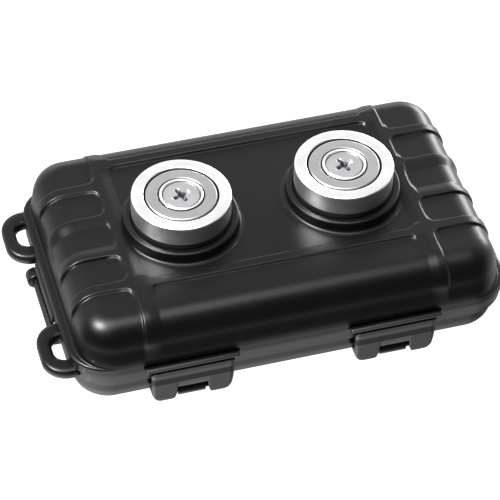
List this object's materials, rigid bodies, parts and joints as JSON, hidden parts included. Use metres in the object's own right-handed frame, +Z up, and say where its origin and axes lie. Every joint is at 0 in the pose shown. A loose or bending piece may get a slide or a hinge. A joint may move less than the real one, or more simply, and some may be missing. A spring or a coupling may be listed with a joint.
{
  "type": "magnetic key holder box",
  "caption": "Weatherproof hinged box with ribbed lid, round pot magnets, front latches and lanyard loops, for hiding keys on steel.",
  "frame": {"origin": "centre of the flat rest face under the lower shell", "axes": "+Z up to the magnets, +X along the box with the lanyard loops at -X, latches at -Y and hinge at +Y"},
  "size_m": [0.1192, 0.073, 0.0375],
  "materials": {
    "plastic": "black, satin moulded",
    "rubber": "black, matt",
    "foam": "dark closed-cell foam",
    "steel": "zinc plated",
    "dark_steel": "blackened",
    "plated_steel": "nickel plated, turned",
    "magnet": "nickel plated magnet"
  },
  "bodies": {
    "base": {"lower_shell": "plastic", "seal_ring": "rubber", "base_pad": "foam", "hinge_pin_left": "steel", "hinge_pin_right": "steel", "latch_pin_left": "dark_steel", "latch_pin_right": "dark_steel", "strap_pin": "dark_steel"},
    "lid": {"upper_shell": "plastic", "magnet_cup_left": "plated_steel", "magnet_cup_right": "plated_steel", "magnet_ring_left": "magnet", "magnet_ring_right": "magnet", "magnet_screw_left": "steel", "magnet_screw_right": "steel", "seal_washer_left": "rubber", "seal_washer_right": "rubber", "inner_washer_left": "steel", "inner_washer_right": "steel", "inner_nut_left": "steel", "inner_nut_right": "steel"},
    "left_latch": {"latch_left": "plastic"},
    "right_latch": {"latch_right": "plastic"}
  },
  "joints": [
    {"name": "lid_hinge", "type": "hinge", "parent": "base", "child": "lid", "pos_m": [0, 0.0351, 0.0134], "axis": [-1, 0, 0], "range_deg": [0, 110]},
    {"name": "left_latch_pivot", "type": "hinge", "parent": "base", "child": "left_latch", "pos_m": [-0.0274, -0.03275, 0.004], "axis": [1, 0, 0], "range_deg": [0, 90]},
    {"name": "right_latch_pivot", "type": "hinge", "parent": "base", "child": "right_latch", "pos_m": [0.0248, -0.03275, 0.004], "axis": [1, 0, 0], "range_deg": [0, 90]}
  ]
}
